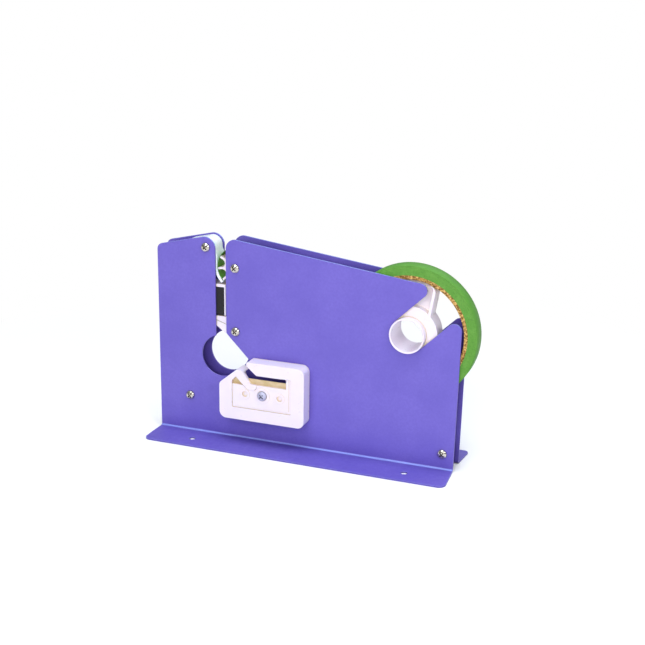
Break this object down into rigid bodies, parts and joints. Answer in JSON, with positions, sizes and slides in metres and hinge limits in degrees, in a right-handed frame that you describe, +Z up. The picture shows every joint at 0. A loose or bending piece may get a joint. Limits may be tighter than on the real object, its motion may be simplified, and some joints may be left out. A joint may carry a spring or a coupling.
{
  "type": "bag neck sealer",
  "caption": "Table-top device with two bent side plates that tapes the twisted neck of a bag closed and trims it.",
  "frame": {"origin": "middle of the four base holes, in the plane of the flanges' underside", "axes": "+X along the side plates from the neck slot towards the tape roll, +Y from the trimmer side to the back, +Z up, square to the flanges"},
  "size_m": [0.2361, 0.0671, 0.1481],
  "materials": {
    "plate_purple": "smooth satin purple-blue enamel",
    "spacer_steel": "turned steel",
    "screw_nickel": "nickel plated",
    "pale_plastic": "white moulded plastic, slight gloss",
    "white_plastic": "white moulded plastic, slight gloss",
    "black_rubber": "matt black rubber",
    "spring_steel": "bright spring wire",
    "blade_steel": "thin ground steel strip",
    "tape_green": "printed green adhesive film",
    "core_board": "brown paperboard tube"
  },
  "bodies": {
    "frame": {"front_plate": "plate_purple", "rear_plate": "plate_purple", "plate_spacers": "spacer_steel", "front_screws": "screw_nickel", "rear_screws": "screw_nickel", "stop_pins": "spacer_steel", "guide_block": "pale_plastic", "press_spring": "spring_steel", "cutter_spring": "spring_steel", "trimmer_box": "white_plastic", "trimmer_cover": "white_plastic", "trimmer_blade": "blade_steel", "trimmer_screw": "screw_nickel", "trimmer_nut": "spacer_steel", "tape_web": "tape_green"},
    "press": {"press_arm": "pale_plastic", "press_pad": "black_rubber"},
    "cutter": {"cutter_lever": "white_plastic", "cutter_blade": "blade_steel", "blade_rivet": "spacer_steel"},
    "star": {"star_wheel": "white_plastic"},
    "axle": {"roll_axle": "white_plastic"},
    "spool": {"roll_spool": "white_plastic", "tape_core": "core_board", "tape_roll": "tape_green"}
  },
  "joints": [
    {"name": "press_swing", "type": "hinge", "parent": "frame", "child": "press", "pos_m": [-0.0894, 0.0022, 0.0282], "axis": [0, -1, 0], "range_deg": [0, 6], "stiffness_Nm_per_rad": 0.3, "springref_deg": -17.19, "deforming": ["press_spring"]},
    {"name": "cutter_swing", "type": "hinge", "parent": "frame", "child": "cutter", "pos_m": [-0.0526, 0.0022, 0.0812], "axis": [0, -1, 0], "range_deg": [0, 95], "stiffness_Nm_per_rad": 0.01, "springref_deg": -28.65, "deforming": ["cutter_spring"]},
    {"name": "star_spin", "type": "hinge", "parent": "frame", "child": "star", "pos_m": [-0.0528, 0.0022, 0.1276], "axis": [0, -1, 0], "continuous": true},
    {"name": "axle_lift", "type": "slide", "parent": "frame", "child": "axle", "axis": [0.7193, 0, 0.6947], "range_m": [0, 0.07]},
    {"name": "roll_spin", "type": "hinge", "parent": "axle", "child": "spool", "pos_m": [0.0751, 0.0022, 0.0946], "axis": [0, -1, 0], "continuous": true}
  ],
  "couplings": [
    {"joint": "star_spin", "follows": "roll_spin", "ratio": -3.271}
  ]
}
